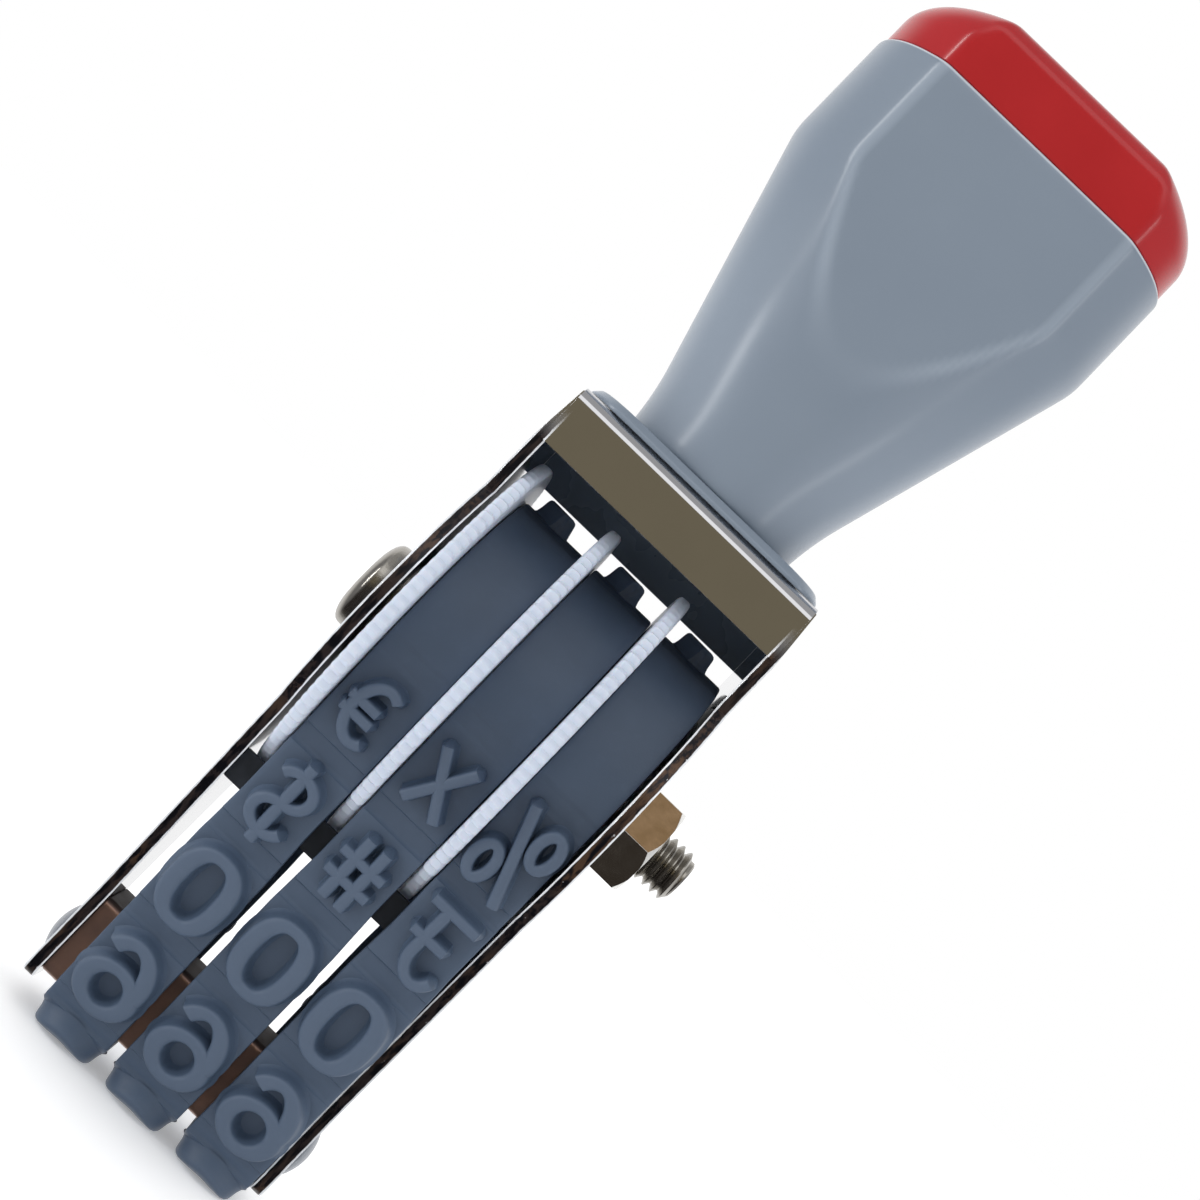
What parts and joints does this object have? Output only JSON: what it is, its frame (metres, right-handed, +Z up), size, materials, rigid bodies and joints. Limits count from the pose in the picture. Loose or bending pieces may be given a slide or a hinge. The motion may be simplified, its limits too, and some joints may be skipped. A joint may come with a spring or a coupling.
{
  "type": "rubber band numbering stamp",
  "caption": "Hand numbering stamp: plastic handle, chromed frame, knurled wheels on an axle screw and rubber bands of raised figures round a bridge.",
  "frame": {"origin": "centre of the printing face, on the paper, midway between the two side plates", "axes": "+Z up from the paper to the handle, +X along the printed line towards the axle nut, front faces -Y"},
  "size_m": [0.0305, 0.0286, 0.0943],
  "materials": {
    "handle_grey": "semi-gloss moulded plastic, blue-grey",
    "cap_red": "glossy moulded plastic, red",
    "insert_brass": "turned",
    "zinc_steel": "zinc plated",
    "nut_zinc": "zinc plated, warm tone",
    "frame_chrome": "bright plated sheet",
    "wheel_white": "satin moulded plastic, white",
    "band_rubber": "matt moulded rubber, slate blue-grey",
    "bridge_steel": "bright, reflects brown",
    "rivet_steel": "plated",
    "bar_dark": "dark satin"
  },
  "bodies": {
    "stamp": {"handle_body": "handle_grey", "handle_collar": "handle_grey", "handle_cap": "cap_red", "handle_insert": "insert_brass", "handle_screw": "zinc_steel", "handle_washer": "zinc_steel", "frame": "frame_chrome", "axle_screw": "zinc_steel", "axle_nut": "nut_zinc", "axle_sleeve": "zinc_steel", "friction_washer": "zinc_steel", "band_left": "band_rubber", "band_middle": "band_rubber", "band_right": "band_rubber", "bridge": "bridge_steel", "rivet_left": "rivet_steel", "rivet_right": "rivet_steel", "cross_bar": "bar_dark"},
    "wheel_left": {"wheel_left": "wheel_white"},
    "wheel_middle": {"wheel_middle": "wheel_white"},
    "wheel_right": {"wheel_right": "wheel_white"}
  },
  "joints": [
    {"name": "wheel_left_spin", "type": "hinge", "parent": "stamp", "child": "wheel_left", "pos_m": [0, 0, 0.0368], "axis": [1, 0, 0], "continuous": true},
    {"name": "wheel_middle_spin", "type": "hinge", "parent": "stamp", "child": "wheel_middle", "pos_m": [0, 0, 0.0368], "axis": [1, 0, 0], "continuous": true},
    {"name": "wheel_right_spin", "type": "hinge", "parent": "stamp", "child": "wheel_right", "pos_m": [0, 0, 0.0368], "axis": [1, 0, 0], "continuous": true}
  ]
}
